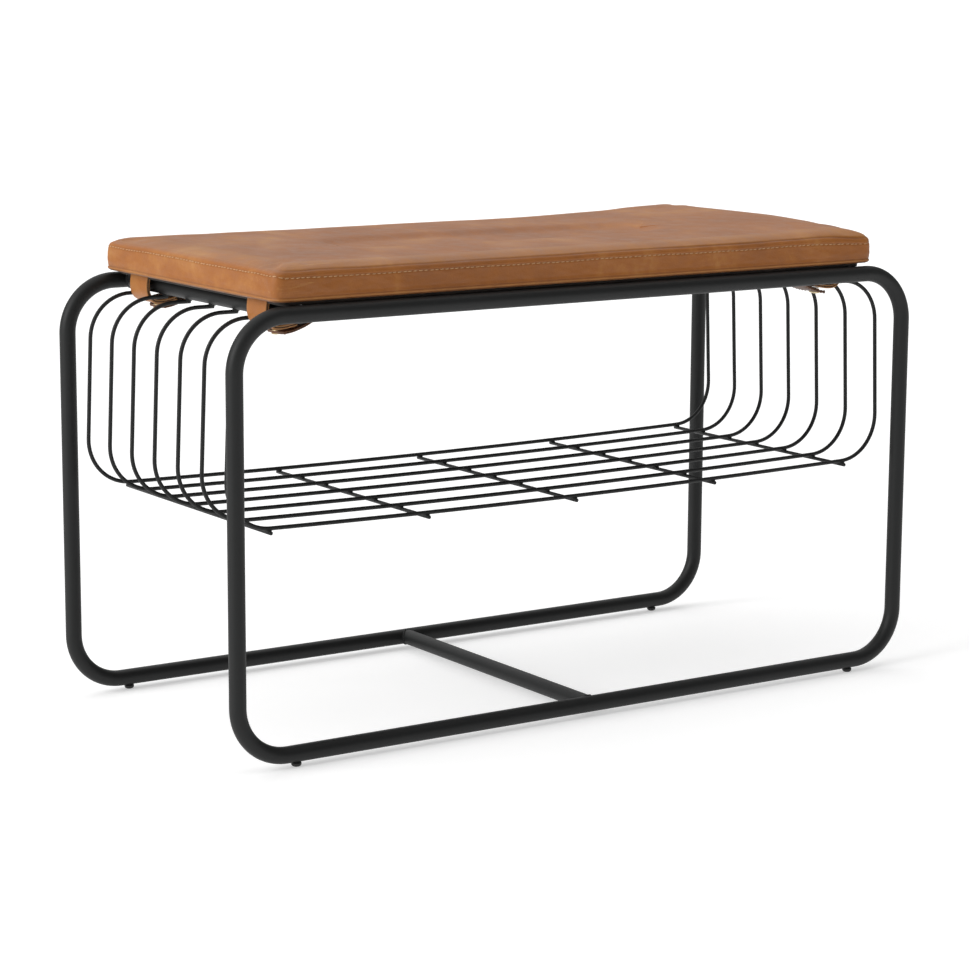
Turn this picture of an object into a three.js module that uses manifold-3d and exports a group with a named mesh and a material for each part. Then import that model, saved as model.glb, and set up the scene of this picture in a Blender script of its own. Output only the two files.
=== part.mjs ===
// Entryway bench: two bent tube loops, a hanging wire shelf and a strapped-on padded seat.
// Millimetres, +Z up, +X along the bench, +Y to the back; origin on the floor at the centre.
import * as THREE from 'three';
import { mergeVertices } from 'three/addons/utils/BufferGeometryUtils.js';
import Module from 'manifold-3d';

const wasm = await Module();
wasm.setup();

// Overall sizes
const LENGTH = 900;          // over the outside of the loops
const DEPTH = 400;           // over the outside of the loops
const FRAME_TOP = 478;       // floor to the top of the upper rails
const GAP = 0.3;             // between pieces that rest on, or are welded to, each other

// Tubes
const TUBE_R = 9;
const TUBE_WALL = 1.2;
const CORNER_R = 57;         // of the tube's centre line
const BAR_INSET = 21;        // top bars, inward from where the corners begin
const GLIDE_INSET = 11;      // glides, likewise
const GLIDE_DROP = 4.5;      // the glides lift the tube off the floor by this

// Wire shelf
const WIRE_R = 2.25;
const CROSS_WIRE_R = 2.1;
const WIRE_COUNT = 7;
const WIRE_SIDE_GAP = 32.5;  // loop centre line to the outermost wire
const CROSS_COUNT = 5;
const CROSS_OVERHANG = 4.5;
const SHELF_Z = 246;         // wire centre line at the ends of the shelf
const SHELF_SAG = 3.9;
const WIRE_TOP_INSET = 14;   // upper corner of a wire, inward from the loop's centre line
const WIRE_LOW_INSET = 5.3;  // lower corner of a wire, likewise
const WIRE_TOP_BEND = 49;
const WIRE_LOW_BEND = 51;
const WIRE_PAST_BAR = 2;     // wire end beyond the top bar's centre line

// Seat
const SEAT_THICK = 39.7;
const SEAT_END_INSET = 47;   // seat end, inward from the loop's centre line
const SEAT_OVERHANG = 1;     // seat side beyond the rails' centre line
const SEAT_CORNER = 18;
const SEAT_EDGE = 7;         // rounding of the top and bottom edges
const COVER = 1.2;
const BOARD = 10;
const SEAM_DROP = 7;         // top and bottom seams, from the faces

// Straps
const STRAP_CLEAR = 4.2;     // strap edge to the wire beside it
const STRAP_THICK = 4.2;
const TAB_THICK = 2.6;
const TAB_REACH = 75;        // tab root, inward from the top bar
const SNAP_TILT = 8;         // degrees, slope of the strap's tail and the tab's end

const DEG = Math.PI / 180;
const railX = LENGTH / 2 - TUBE_R;
const railY = DEPTH / 2 - TUBE_R;
const railTop = FRAME_TOP - TUBE_R;
const railLow = GLIDE_DROP + TUBE_R;
const barX = railX - CORNER_R - BAR_INSET;
const glideX = railX - CORNER_R - GLIDE_INSET;
const wireY = railY - WIRE_SIDE_GAP;
const wirePitch = 2 * wireY / (WIRE_COUNT - 1);
const wireTopZ = railTop - TUBE_R - GAP - WIRE_R;
const seatX = railX - SEAT_END_INSET;
const seatY = railY + SEAT_OVERHANG;
const seatLow = FRAME_TOP + GAP;
const seatTop = seatLow + SEAT_THICK;
const strapY = wireY - wirePitch / 2;
const strapWidth = wirePitch - 2 * WIRE_R - 2 * STRAP_CLEAR;

const powderCoat = new THREE.MeshStandardMaterial({ color: 0x2b2c2d, roughness: 0.62, metalness: 0.1 });
const leather = new THREE.MeshStandardMaterial({ color: 0xa9713f, roughness: 0.55, metalness: 0 });
const lining = new THREE.MeshStandardMaterial({ color: 0x26211d, roughness: 0.95, metalness: 0 });
const foam = new THREE.MeshStandardMaterial({ color: 0xe8dfc2, roughness: 1, metalness: 0 });
const plywood = new THREE.MeshStandardMaterial({ color: 0xc9a878, roughness: 0.8, metalness: 0 });
const nylon = new THREE.MeshStandardMaterial({ color: 0x151515, roughness: 0.5, metalness: 0 });
const brass = new THREE.MeshStandardMaterial({ color: 0xb9a67a, roughness: 0.35, metalness: 1 });

// A curve that passes through listed stations, one per extrusion step.
class Stations extends THREE.Curve {
  constructor(stations) {
    super();
    this.stations = stations;
  }
  station(t) {
    return this.stations[Math.round(t * (this.stations.length - 1))];
  }
  getPoint(t, target = new THREE.Vector3()) {
    return target.copy(this.station(t).at);
  }
  getTangent(t, target = new THREE.Vector3()) {
    return target.copy(this.station(t).along);
  }
  getPointAt(t, target) {
    return this.getPoint(t, target);
  }
  getTangentAt(t, target) {
    return this.getTangent(t, target);
  }
}

// Stations round the corners [x, z, bend radius] of a path in the plane y = 0.
function bentPath(corners, closed, bendSteps) {
  const points = corners.map(([x, z]) => new THREE.Vector2(x, z));
  const count = points.length;
  const stations = [];
  const put = (p, d) => stations.push({
    at: new THREE.Vector3(p.x, 0, p.y), along: new THREE.Vector3(d.x, 0, d.y).normalize(),
  });
  for (let i = 0; i < count; i++) {
    const here = points[i];
    const before = points[(i + count - 1) % count];
    const after = points[(i + 1) % count];
    const into = here.clone().sub(before).normalize();
    const out = after.clone().sub(here).normalize();
    if (!closed && (i === 0 || i === count - 1)) {
      put(here, i === 0 ? out : into);
      continue;
    }
    const turn = Math.atan2(into.x * out.y - into.y * out.x, into.dot(out));
    const radius = corners[i][2];
    const start = here.clone().addScaledVector(into, -radius * Math.tan(Math.abs(turn) / 2));
    const side = new THREE.Vector2(-into.y, into.x).multiplyScalar(Math.sign(turn));
    const centre = start.clone().addScaledVector(side, radius);
    for (let s = 0; s <= bendSteps; s++) {
      const angle = turn * s / bendSteps;
      const spoke = start.clone().sub(centre).rotateAround(new THREE.Vector2(), angle);
      put(spoke.add(centre), into.clone().rotateAround(new THREE.Vector2(), angle));
    }
  }
  if (closed) stations.push({ at: stations[0].at.clone(), along: stations[0].along.clone() });
  return stations;
}

function disc(radius, sides) {
  const shape = new THREE.Shape();
  for (let i = 0; i < sides; i++) {
    const a = 2 * Math.PI * i / sides;
    if (i === 0) shape.moveTo(radius, 0);
    else shape.lineTo(radius * Math.cos(a), radius * Math.sin(a));
  }
  shape.closePath();
  return shape;
}

// A round bar along the stations; a closed path keeps its side faces only, welded end to end.
function sweep(stations, radius, sides, closed = false) {
  const steps = stations.length - 1;
  const swept = new THREE.ExtrudeGeometry(disc(radius, sides), { steps, extrudePath: new Stations(stations) });
  if (!closed) return swept;
  const sideGroup = swept.groups[1];
  const positions = swept.attributes.position.array;
  const ring = new THREE.BufferGeometry();
  const from = 3 * sideGroup.start;
  const kept = positions.slice(from, from + 3 * sideGroup.count);
  ring.setAttribute('position', new THREE.BufferAttribute(kept, 3));
  return mergeVertices(ring, 1e-2);
}

function solid(geometry) {
  const bare = geometry.clone();
  bare.deleteAttribute('normal');
  bare.deleteAttribute('uv');
  const merged = mergeVertices(bare, 1e-3);
  return new wasm.Manifold(new wasm.Mesh({
    numProp: 3,
    vertProperties: new Float32Array(merged.attributes.position.array),
    triVerts: new Uint32Array(merged.index.array),
  }));
}

function surface(body) {
  const mesh = body.getMesh();
  const geometry = new THREE.BufferGeometry();
  geometry.setAttribute('position', new THREE.BufferAttribute(new Float32Array(mesh.vertProperties), 3));
  geometry.setIndex(Array.from(mesh.triVerts));
  geometry.computeVertexNormals();
  return geometry;
}

function named(name, geometry, material) {
  const mesh = new THREE.Mesh(geometry, material);
  mesh.name = name;
  return mesh;
}

const box = (x0, y0, z0, x1, y1, z1) => solid(
  new THREE.BoxGeometry(x1 - x0, y1 - y0, z1 - z0).translate((x0 + x1) / 2, (y0 + y1) / 2, (z0 + z1) / 2));

// A cylinder along Y (axis 'y'), along X ('x') or upright ('z').
function rod(radius, length, axis, sides = 24) {
  const geometry = new THREE.CylinderGeometry(radius, radius, length, sides);
  if (axis === 'x') geometry.rotateZ(Math.PI / 2);
  if (axis === 'z') geometry.rotateX(Math.PI / 2);
  return geometry;
}

// One loop: a closed tube, hollow, with a hole under it for each glide's stem.
function loopTube(name, y) {
  const corners = [
    [-railX, railLow, CORNER_R], [railX, railLow, CORNER_R],
    [railX, railTop, CORNER_R], [-railX, railTop, CORNER_R],
  ];
  const stations = bentPath(corners, true, 8);
  let tube = solid(sweep(stations, TUBE_R, 24, true));
  tube = tube.subtract(solid(sweep(stations, TUBE_R - TUBE_WALL, 16, true)));
  for (const x of [-glideX, glideX]) {
    tube = tube.subtract(solid(rod(3.7, 8, 'z', 16).translate(x, 0, GLIDE_DROP)));
  }
  return named(name, surface(tube).translate(0, y, 0), powderCoat);
}

// A straight tube between the loops, its ends coped to fit round them.
function crossTube(name, x, z) {
  let tube = solid(rod(TUBE_R, 2 * railY, 'y'));
  tube = tube.subtract(solid(rod(TUBE_R - TUBE_WALL, 2 * railY + 2, 'y', 16)));
  for (const side of [-1, 1]) {
    tube = tube.subtract(solid(rod(TUBE_R + GAP, 60, 'x', 32).translate(0, side * railY, 0)));
  }
  return named(name, surface(tube).translate(x, 0, z), powderCoat);
}

// A push-in glide: flat-bottomed nub under the tube, stem through its wall.
function glide(name, x, y) {
  const rise = GLIDE_DROP - GAP;
  const stemTop = GLIDE_DROP + TUBE_WALL + 3;
  const profile = [[0, 0], [3.2, 0], [4.6, 0.8], [5.4, 2.2], [5.5, rise], [3.3, rise], [3.3, stemTop - 1],
    [2.6, stemTop], [0, stemTop]].map(([r, z]) => new THREE.Vector2(r, z));
  return named(name, new THREE.LatheGeometry(profile, 20).rotateX(Math.PI / 2).translate(x, y, 0), nylon);
}

// One long wire: hangs from the top bars, runs down the ends and across as the shelf.
function shelfWire(name, y) {
  const top = railX - WIRE_TOP_INSET;
  const low = railX - WIRE_LOW_INSET;
  const end = barX - WIRE_PAST_BAR;
  const stations = bentPath([
    [-end, wireTopZ], [-top, wireTopZ, WIRE_TOP_BEND], [-low, SHELF_Z, WIRE_LOW_BEND],
    [low, SHELF_Z, WIRE_LOW_BEND], [top, wireTopZ, WIRE_TOP_BEND], [end, wireTopZ],
  ], false, 6);
  const middle = stations.length / 2;
  const first = stations[middle - 1];
  const reach = -first.at.x;
  const run = [];
  for (let i = 1; i < 8; i++) {
    const x = -reach + 2 * reach * i / 8;
    run.push({ at: new THREE.Vector3(x, 0, SHELF_Z), along: new THREE.Vector3(1, 0, 0) });
  }
  stations.splice(middle, 0, ...run);
  for (const station of stations) {
    if (Math.abs(station.at.x) < reach && station.at.z < railTop / 2 + SHELF_Z / 2) {
      station.at.z = sagged(station.at.x, reach);
    }
  }
  return named(name, sweep(stations, WIRE_R, 10).translate(0, y, 0), powderCoat);
}

const sagged = (x, reach) => SHELF_Z - SHELF_SAG * (1 - (x / reach) ** 2);

// One cross wire, under the long wires.
function crossWire(name, x, reach) {
  const z = sagged(Math.min(Math.abs(x), reach), reach) - WIRE_R - CROSS_WIRE_R - GAP;
  const length = 2 * (wireY + CROSS_OVERHANG);
  return named(name, rod(CROSS_WIRE_R, length, 'y', 10).translate(x, 0, z), powderCoat);
}

// A slab with rounded corners and edges, shrunk by an inset on every side.
function seatSlab(inset) {
  const hx = seatX - inset;
  const hy = seatY - inset;
  const corner = SEAT_CORNER - inset;
  const edge = SEAT_EDGE - inset;
  const shape = new THREE.Shape();
  shape.moveTo(hx, -hy + corner);
  shape.lineTo(hx, hy - corner);
  shape.absarc(hx - corner, hy - corner, corner, 0, Math.PI / 2);
  shape.lineTo(-hx + corner, hy);
  shape.absarc(-hx + corner, hy - corner, corner, Math.PI / 2, Math.PI);
  shape.lineTo(-hx, -hy + corner);
  shape.absarc(-hx + corner, -hy + corner, corner, Math.PI, 1.5 * Math.PI);
  shape.lineTo(hx - corner, -hy);
  shape.absarc(hx - corner, -hy + corner, corner, 1.5 * Math.PI, 2 * Math.PI);
  const low = seatLow + inset;
  const depth = seatTop - inset - low - 2 * edge;
  const slab = new THREE.ExtrudeGeometry(shape, {
    depth, bevelEnabled: true, bevelThickness: edge, bevelSize: edge, bevelOffset: -edge,
    bevelSegments: 3, curveSegments: 5, steps: 1,
  });
  return solid(slab.translate(0, 0, low + edge));
}

const zBand = (z0, z1) => box(-LENGTH, -DEPTH, z0, LENGTH, DEPTH, z1);

// The seat: cover in three panels, foam pad and ply board.
function seat() {
  const skin = seatSlab(0).subtract(seatSlab(COVER));
  const filling = seatSlab(COVER + GAP);
  const topSeam = seatTop - SEAM_DROP;
  const lowSeam = seatLow + SEAM_DROP;
  const boardTop = seatLow + COVER + GAP + BOARD;
  const half = GAP / 2;
  const group = new THREE.Group();
  group.name = 'seat';
  group.add(
    named('cover_top', surface(skin.intersect(zBand(topSeam + half, seatTop + 1))), leather),
    named('cover_band', surface(skin.intersect(zBand(lowSeam + half, topSeam - half))), leather),
    named('cover_bottom', surface(skin.intersect(zBand(seatLow - 1, lowSeam - half))), lining),
    named('foam_pad', surface(filling.intersect(zBand(boardTop + GAP, seatTop))), foam),
    named('seat_board', surface(filling.intersect(zBand(seatLow, boardTop))), plywood),
  );
  return group;
}

// A flat strip bent along a path [outward, up] and centred on y = 0, for the +X end.
function strip(path, thick, width, steps) {
  const curve = new THREE.CatmullRomCurve3(path.map(([u, z]) => new THREE.Vector3(u, z, 0)));
  const outer = [];
  const inner = [];
  for (let i = 0; i <= steps; i++) {
    const at = curve.getPointAt(i / steps);
    const along = curve.getTangentAt(i / steps);
    const normal = new THREE.Vector2(-along.y, along.x).multiplyScalar(thick / 2);
    outer.push(new THREE.Vector2(at.x - normal.x, at.y - normal.y));
    inner.push(new THREE.Vector2(at.x + normal.x, at.y + normal.y));
  }
  const outline = new THREE.Shape([...outer, ...inner.reverse()]);
  const geometry = new THREE.ExtrudeGeometry(outline, { depth: width, bevelEnabled: false });
  return geometry.rotateX(Math.PI / 2).translate(0, width / 2, 0);
}

// Turned parts of the press stud, stacked along the snap's own upright axis.
function stud(profile) {
  return new THREE.LatheGeometry(profile.map(([r, z]) => new THREE.Vector2(r, z)), 16).rotateX(Math.PI / 2);
}

// Strap, tab and press stud at one end (sx) and side (sy), all in place round the top bar.
function fastening(sx, sy) {
  const label = `${sy < 0 ? 'front' : 'rear'}_${sx < 0 ? 'left' : 'right'}`;
  // Both paths are drawn for a 9 mm tube. The strap's grows with it, to keep clear of the bar and reach the seat; the
  // press stud and the tab's end move with the strap's tail, where the stud sits, so that the stud keeps its height.
  const grow = TUBE_R / 9;
  const scaled = (path) => path.map(([u, z]) => [u * grow, z * grow]);
  const shifted = (path) => path.map(([u, z]) => [u - 5 * (grow - 1), z - 17.05 * (grow - 1)]);
  const strapPath = scaled([[16.2, 8.4], [17.8, 1], [17.4, -6], [14.6, -12.6], [9, -16.6], [3, -17.6], [-4, -17.2],
    [-12, -15.9], [-20, -14.4]]);
  const tabPath = [[-TAB_REACH, TUBE_R - 2.4], [-TAB_REACH * 0.78, TUBE_R - 7.8],
    ...shifted([[-42, -9.5], [-28, -17], [-14, -21.8], [-5, -23.6], [-0.5, -24.24]])];
  const [[snapU, snapZ]] = shifted([[-5, -23.6]]);
  const snap = new THREE.Matrix4().makeRotationY(SNAP_TILT * DEG).setPosition(snapU, 0, snapZ);
  const half = TAB_THICK / 2;
  const cap = stud([[0, -half - GAP], [4, -half - GAP], [6.6, -half - GAP], [6.6, -half - 0.8],
    [5.4, -half - 1.5], [3, -half - 1.9], [0, -half - 2]].reverse());
  const socket = stud([[0, half + GAP], [5.5, half + GAP], [5.5, half + 1.5], [2.6, half + 1.5],
    [2.6, half + 0.9], [0, half + 0.9]]);
  const post = stud([[0, half + 1.2], [2.2, half + 1.2], [2.2, half + 1.8], [5.2, half + 1.8],
    [5.2, half + 2.55], [0, half + 2.55]]);
  const parts = [
    named(`strap_${label}`, strip(strapPath, STRAP_THICK, strapWidth, 22), leather),
    named(`strap_stud_${label}`, post.applyMatrix4(snap), brass),
    named(`tab_${label}`, strip(tabPath, TAB_THICK, strapWidth, 16), leather),
    named(`tab_socket_${label}`, socket.applyMatrix4(snap), brass),
    named(`tab_cap_${label}`, cap.applyMatrix4(snap), brass),
  ];
  for (const part of parts) {
    part.geometry.translate(barX, 0, railTop);
    if (sx < 0) part.geometry.rotateZ(Math.PI);
    part.geometry.translate(0, sy * strapY, 0);
  }
  return parts;
}

function bench() {
  const group = new THREE.Group();
  group.name = 'entryway_bench';
  group.add(loopTube('front_loop', -railY), loopTube('rear_loop', railY));
  group.add(crossTube('top_bar_left', -barX, railTop), crossTube('top_bar_right', barX, railTop));
  group.add(crossTube('base_bar', 0, railLow));
  for (let i = 0; i < WIRE_COUNT; i++) {
    group.add(shelfWire(`shelf_wire_${i + 1}`, -wireY + i * wirePitch));
  }
  const crossReach = railX - WIRE_LOW_INSET - WIRE_LOW_BEND;
  for (let i = 0; i < CROSS_COUNT; i++) {
    const x = -crossReach + 2 * crossReach * i / (CROSS_COUNT - 1);
    group.add(crossWire(`shelf_cross_wire_${i + 1}`, x, crossReach));
  }
  for (const [sy, side] of [[-1, 'front'], [1, 'rear']]) {
    for (const [sx, end] of [[-1, 'left'], [1, 'right']]) {
      group.add(glide(`glide_${side}_${end}`, sx * glideX, sy * railY));
      group.add(...fastening(sx, sy));
    }
  }
  group.add(seat());
  return group;
}

export default bench();
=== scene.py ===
"""Entryway bench: two bent steel loops, a hanging wire shelf and a leather seat held by snap straps.

Shapes are worked out in millimetres, +X along the bench, +Y to the back and +Z up."""
import bmesh
import bpy
import numpy as np
from mathutils import Matrix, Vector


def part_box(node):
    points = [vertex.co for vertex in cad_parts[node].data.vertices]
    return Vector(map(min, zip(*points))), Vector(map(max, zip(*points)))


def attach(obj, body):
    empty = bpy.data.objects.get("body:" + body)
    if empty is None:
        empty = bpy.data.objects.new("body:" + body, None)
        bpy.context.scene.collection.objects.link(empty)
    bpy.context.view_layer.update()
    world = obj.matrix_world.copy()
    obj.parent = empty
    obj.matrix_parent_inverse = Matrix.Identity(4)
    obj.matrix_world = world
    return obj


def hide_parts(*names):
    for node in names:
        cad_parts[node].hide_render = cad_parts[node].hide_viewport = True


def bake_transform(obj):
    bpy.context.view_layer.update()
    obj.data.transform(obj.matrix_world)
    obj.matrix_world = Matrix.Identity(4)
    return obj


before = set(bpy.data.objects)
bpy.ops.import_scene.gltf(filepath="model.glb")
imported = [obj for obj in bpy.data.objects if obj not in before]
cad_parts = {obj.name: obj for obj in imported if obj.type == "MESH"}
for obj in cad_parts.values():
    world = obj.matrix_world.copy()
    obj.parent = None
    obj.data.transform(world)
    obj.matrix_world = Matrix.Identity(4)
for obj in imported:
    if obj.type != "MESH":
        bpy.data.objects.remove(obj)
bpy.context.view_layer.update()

MM = 0.001
TURN = 2 * np.pi


def box_mm(node):
    """Lowest and highest corner of a CAD node, in millimetres."""
    return np.array(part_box(node)) / MM


# Where the steel runs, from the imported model
LOOP_BOX = box_mm("front_loop")
TUBE_R = (LOOP_BOX[1, 1] - LOOP_BOX[0, 1]) / 2
RAIL_X = LOOP_BOX[1, 0] - TUBE_R
RAIL_Y = -(LOOP_BOX[1, 1] + LOOP_BOX[0, 1]) / 2
RAIL_TOP = LOOP_BOX[1, 2] - TUBE_R
RAIL_LOW = LOOP_BOX[0, 2] + TUBE_R
BAR_X = box_mm("top_bar_right")[:, 0].mean()
GLIDE_X = box_mm("glide_front_right")[:, 0].mean()
WIRE_YS = [box_mm(f"shelf_wire_{i}")[:, 1].mean() for i in range(1, 8)]
CORNER_R = 57                # bend of a loop's centre line
TUBE_SIDES, WIRE_SIDES = 48, 16

# Wire shelf
WIRE_R = 2.25
CROSS_WIRE_R = 2.1
SHELF_Z = 246
SHELF_SAG = 3.9
WIRE_TOP_Z = RAIL_TOP - TUBE_R - WIRE_R - 0.3
WIRE_TOP_X, WIRE_TOP_BEND = RAIL_X - 14, 49
WIRE_LOW_X, WIRE_LOW_BEND = RAIL_X - 5.3, 51
WIRE_END_X = BAR_X - 2
SHELF_REACH = WIRE_LOW_X - WIRE_LOW_BEND
CROSS_REACH = WIRE_YS[-1] + 4.5
CROSS_COUNT = 5

# Seat
SEAT_BOX = np.array([box_mm("cover_bottom")[0], box_mm("cover_top")[1]])
SEAT_X, SEAT_Y = SEAT_BOX[1, :2]
SEAT_LOW = SEAT_BOX[0, 2]
SEAT_CORNER = 11
SEAT_TOP = 514.8             # top panel before the filling crowns it
CROWN = 2.6                  # most that the filling pushes the cover out
LEATHER_LOW = SEAT_LOW + 3   # the leather ends here and a lined base, set back, fills the rest
EDGE_TOP_R = 8.5
EDGE_LOW_R = 3.6
LONG_STEPS, SHORT_STEPS, CORNER_STEPS = 220, 108, 14
STITCH, STITCH_GAP, THREAD_R = 4.9, 1.5, 0.52
SEAM_DROP = 1.5              # upper seam below the top panel
STITCH_DROP = 7.6            # topstitch below the upper seam
LOW_SEAM_RISE = 4.4          # lower seam above the leather's lower edge
BASE_INSET, BASE_END_INSET = 5.5, 13.0
BASE_LOW = 476.8             # the base sags into the frame between the rails
HEM = 16                     # width of the base's folded hem
BOARD_LOW, BOARD_TOP, BOARD_INSET = 479.2, 482.8, 14
STAPLE_PITCH = 42

# Straps
STRAP_Y = (WIRE_YS[5] + WIRE_YS[6]) / 2
STRAP_WIDTH = box_mm("strap_rear_right")[1, 1] - box_mm("strap_rear_right")[0, 1]
STRAP_THICK, TAB_THICK = 4.2, 2.6
STRAP_TAIL_R, TAB_TAIL_R = 7, 9
SEWING_PITCH, SEWING_LENGTH, SEWING_R, SEWING_INSET = 4.6, 3.4, 0.42, 3.4
# paths [outward, up] from a top bar's centre line
STRAP_PATH = [[15.6, 14.6], [16.9, 8.4], [17.8, 1], [17.4, -6], [14.6, -12.6], [9, -16.6], [3, -17.6],
              [-4, -17.2], [-12, -15.9], [-20, -14.4]]
TAB_PATH = [[-80, 8.0], [-75, 6.6], [-58.5, 1.2], [-42, -9.5], [-28, -17], [-14, -21.8], [-5, -23.6],
            [-0.5, -24.24]]
SNAP_AT = (-5, -23.6)
SNAP_TILT = np.radians(8)

# Suns: name, strength, spread, elevation and azimuth, from +X towards +Y, of the side the light comes from
SUNS = (("overhead", 1.72, 100, 70, 110), ("key", 1.9, 40, 24, 178), ("back", 0.22, 50, 20, 58))


# ------------ shapes

def smoothstep(x, low, high):
    """0 below low, 1 above high, and 3t² − 2t³ between."""
    t = np.clip((x - low) / (high - low), 0, 1)
    return t * t * (3 - 2 * t)


def bell(distance, width):
    """exp(−(distance / width)²): 1 at no distance, gone by two widths."""
    return np.exp(-(distance / width) ** 2)


def run_of(line):
    """Length along a line up to each of its points."""
    return np.concatenate([[0], np.cumsum(np.linalg.norm(np.diff(line, axis=0), axis=1))])


def spots_along(line, run, at):
    """Points of a line, whose run is given, at those lengths."""
    return np.stack([np.interp(at, run, line[:, k]) for k in range(line.shape[1])], -1)


def circle(radius, sides):
    """Points radius·(cos a, sin a) for a over one turn."""
    a = np.arange(sides) * TURN / sides
    return radius * np.stack([np.cos(a), np.sin(a)], -1)


def bent(corners, closed, bend_steps):
    """Centre line [x, z] through corners [x, z, bend radius]: each bend is the arc that touches both
    straight runs, stepped evenly in angle; the ends of an open line are kept as they are."""
    points = np.array([c[:2] for c in corners], float)
    line = []
    for i, corner in enumerate(corners):
        here = points[i]
        if not closed and i in (0, len(corners) - 1):
            line.append(here[None])
            continue
        into, out = here - points[i - 1], points[(i + 1) % len(points)] - here
        into, out = into / np.hypot(*into), out / np.hypot(*out)
        turn = np.arctan2(into[0] * out[1] - into[1] * out[0], into @ out)
        side = np.array([-into[1], into[0]]) * np.sign(turn)
        start = here - into * corner[2] * np.tan(abs(turn) / 2)
        a = np.abs(turn) * np.linspace(0, 1, bend_steps + 1)[:, None]
        line.append(start + corner[2] * (into * np.sin(a) + side * (1 - np.cos(a))))
    return np.concatenate(line)


def curve_through(points, steps):
    """Smooth line through points, taken at steps from 0 to 1 of its length: each span is a cubic whose
    slope at a point is that of the chord between its neighbours."""
    p = np.array(points, float)
    p = np.concatenate([2 * p[:1] - p[1:2], p, 2 * p[-1:] - p[-2:-1]])
    gap = np.sqrt(np.hypot(*np.diff(p, axis=0).T))
    knot = np.concatenate([[0], np.cumsum(gap)])
    slope = (p[2:] - p[:-2]) / (knot[2:] - knot[:-2])[:, None]
    s = np.linspace(0, 1, 40, endpoint=False)[None, :, None]
    a, b = p[1:-2][:, None], p[2:-1][:, None]
    span = np.diff(knot)[1:-1][:, None, None]
    da, db = slope[:-1][:, None] * span, slope[1:][:, None] * span
    fine = ((2 * s**3 - 3 * s**2 + 1) * a + (s**3 - 2 * s**2 + s) * da
            + (3 * s**2 - 2 * s**3) * b + (s**3 - s**2) * db)
    fine = np.concatenate([fine.reshape(-1, 2), p[-2:-1]])
    run = run_of(fine)
    return spots_along(fine, run, np.asarray(steps) * run[-1])


def carried(path, profile, y=0.0, closed=False, width=1.0):
    """Grid of a profile (across, off) carried along a path [x, z]: point = path + across·Y + off·(the
    path's left-hand normal), the profile held in the plane that halves the path's angle and its width
    scaled at each station."""
    path = np.asarray(path, float)
    if closed:
        steps = np.roll(path, -1, 0) - path
        before, after = np.roll(steps, 1, 0), steps
    else:
        steps = np.diff(path, axis=0)
        before, after = np.concatenate([steps[:1], steps]), np.concatenate([steps, steps[-1:]])
    along = before / np.hypot(*before.T)[:, None] + after / np.hypot(*after.T)[:, None]
    along /= np.hypot(*along.T)[:, None]
    off = profile[None, :, 1]
    across = profile[None, :, 0] * np.broadcast_to(width, len(path))[:, None]
    return np.stack([path[:, None, 0] - along[:, None, 1] * off, y + across,
                     path[:, None, 1] + along[:, None, 0] * off], -1)


def capped(grid, rounding=0.0):
    """The grid with both ends closed: each end ring is drawn in towards its middle, first by rounding
    and then to a point."""
    ends = []
    for ring, inner in ((grid[:1], grid[1:2]), (grid[-1:], grid[-2:-1])):
        middle = ring.mean(axis=1, keepdims=True)
        outward = middle - inner.mean(axis=1, keepdims=True)
        outward /= np.linalg.norm(outward)
        size = np.linalg.norm(ring - middle, axis=-1).max()
        soft = middle + (ring - middle) * (1 - rounding / size) + outward * rounding
        ends.append([soft, soft * 0 + middle + outward * rounding] if rounding else [ring * 0 + middle])
    return np.concatenate([*ends[0][::-1], grid, *ends[1]])


def turned(profile, sides):
    """Grid of a profile (radius, height) turned about the upright axis."""
    r, z = np.array(profile, float).T
    a = np.arange(sides) * TURN / sides
    return np.stack([r[:, None] * np.cos(a), r[:, None] * np.sin(a), z[:, None] + 0 * a], -1)


def faces_of(rows, columns, close_rows, close_columns):
    """Four corners of every cell of a grid numbered row by row."""
    r = np.arange(rows if close_rows else rows - 1)[:, None]
    c = np.arange(columns if close_columns else columns - 1)[None]
    r1, c1 = (r + 1) % rows, (c + 1) % columns
    return np.stack([r * columns + c, r * columns + c1, r1 * columns + c1, r1 * columns + c], -1).reshape(-1, 4)


def mesh_from(name, grids, closed_rows=False, marks=None):
    """Mesh of one or more grids whose rows are closed rings, in metres. Doubled points are merged, which
    closes seams and poles, and the faces are turned outward. marks are named numbers, one array for
    each grid."""
    points, faces, start = [], [], 0
    for grid in grids:
        rows, columns = grid.shape[:2]
        points.append(grid.reshape(-1, 3))
        faces.append(faces_of(rows, columns, closed_rows, True) + start)
        start += rows * columns
    mesh = bpy.data.meshes.new(name)
    mesh.from_pydata((np.concatenate(points) * MM).tolist(), [], np.concatenate(faces).tolist())
    for mark, values in (marks or {}).items():
        layer = mesh.attributes.new(mark, "FLOAT", "POINT")
        layer.data.foreach_set("value", np.concatenate([v.reshape(-1) for v in values]).astype(np.float32))
    work = bmesh.new()
    work.from_mesh(mesh)
    bmesh.ops.remove_doubles(work, verts=work.verts, dist=2e-6)
    bmesh.ops.recalc_face_normals(work, faces=work.faces)
    work.to_mesh(mesh)
    work.free()
    return mesh


def linked(name, data):
    """An object of this data, put in the scene."""
    made = bpy.data.objects.new(name, data)
    bpy.context.scene.collection.objects.link(made)
    return made


def piece(name, mesh, material, body="bench", nodes=(), sharp=None):
    """A finished piece from its mesh: smooth shading with creases past the sharp angle, its material, the
    body it rides on and the CAD nodes it stands for."""
    mesh.shade_smooth()
    if sharp:
        mesh.set_sharp_from_angle(angle=np.radians(sharp))
    mesh.materials.append(material)
    made = linked(name, mesh)
    if body:
        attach(made, body)
    if nodes:
        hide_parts(*nodes)
    return made


# ------------ materials

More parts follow.
